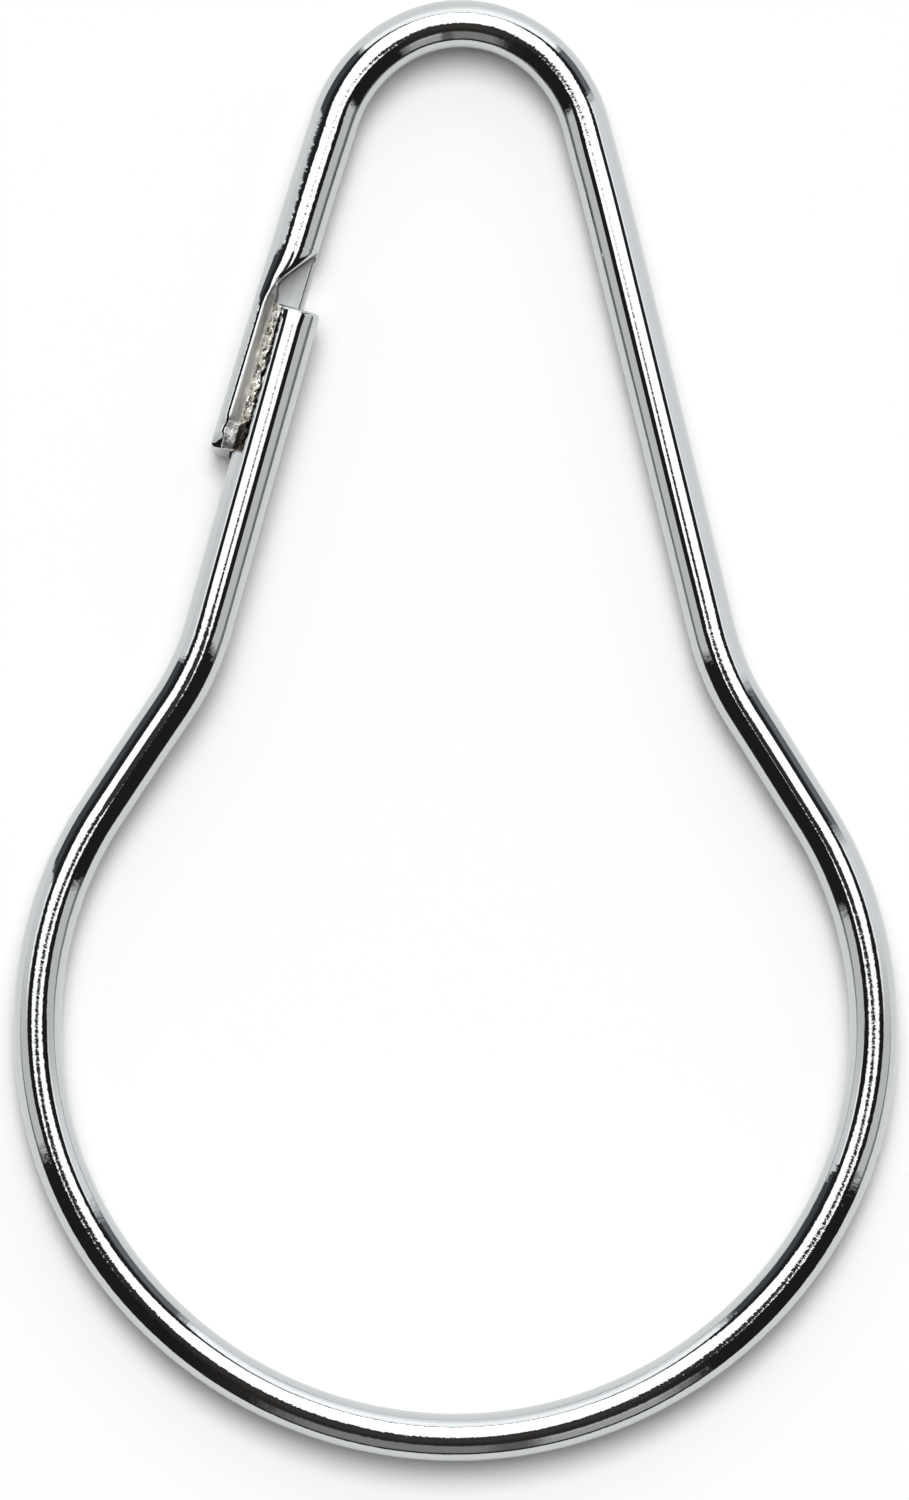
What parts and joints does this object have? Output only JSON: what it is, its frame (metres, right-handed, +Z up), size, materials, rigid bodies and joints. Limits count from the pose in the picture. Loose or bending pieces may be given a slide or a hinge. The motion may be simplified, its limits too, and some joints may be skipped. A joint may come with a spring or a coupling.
{
  "type": "shower curtain ring",
  "caption": "Pear-shaped ring of bent, chrome-plated steel wire: the wide bow hangs on a curtain rod, the narrow bow carries a curtain eyelet, and one end springs into a coined catch.",
  "frame": {"origin": "centre of the wide bow, on the wire's mid-plane", "axes": "the ring lies flat in XY, +Y from the wide bow to the narrow bow, +Z up, out of the open side of the catch"},
  "size_m": [0.0554, 0.0913, 0.0036],
  "materials": {
    "chrome_wire": "bright plated steel wire, slightly rippled, with a satin patch and a rough plating seam in the coined catch"
  },
  "bodies": {
    "root": {"curtain_ring": "chrome_wire"}
  },
  "joints": []
}
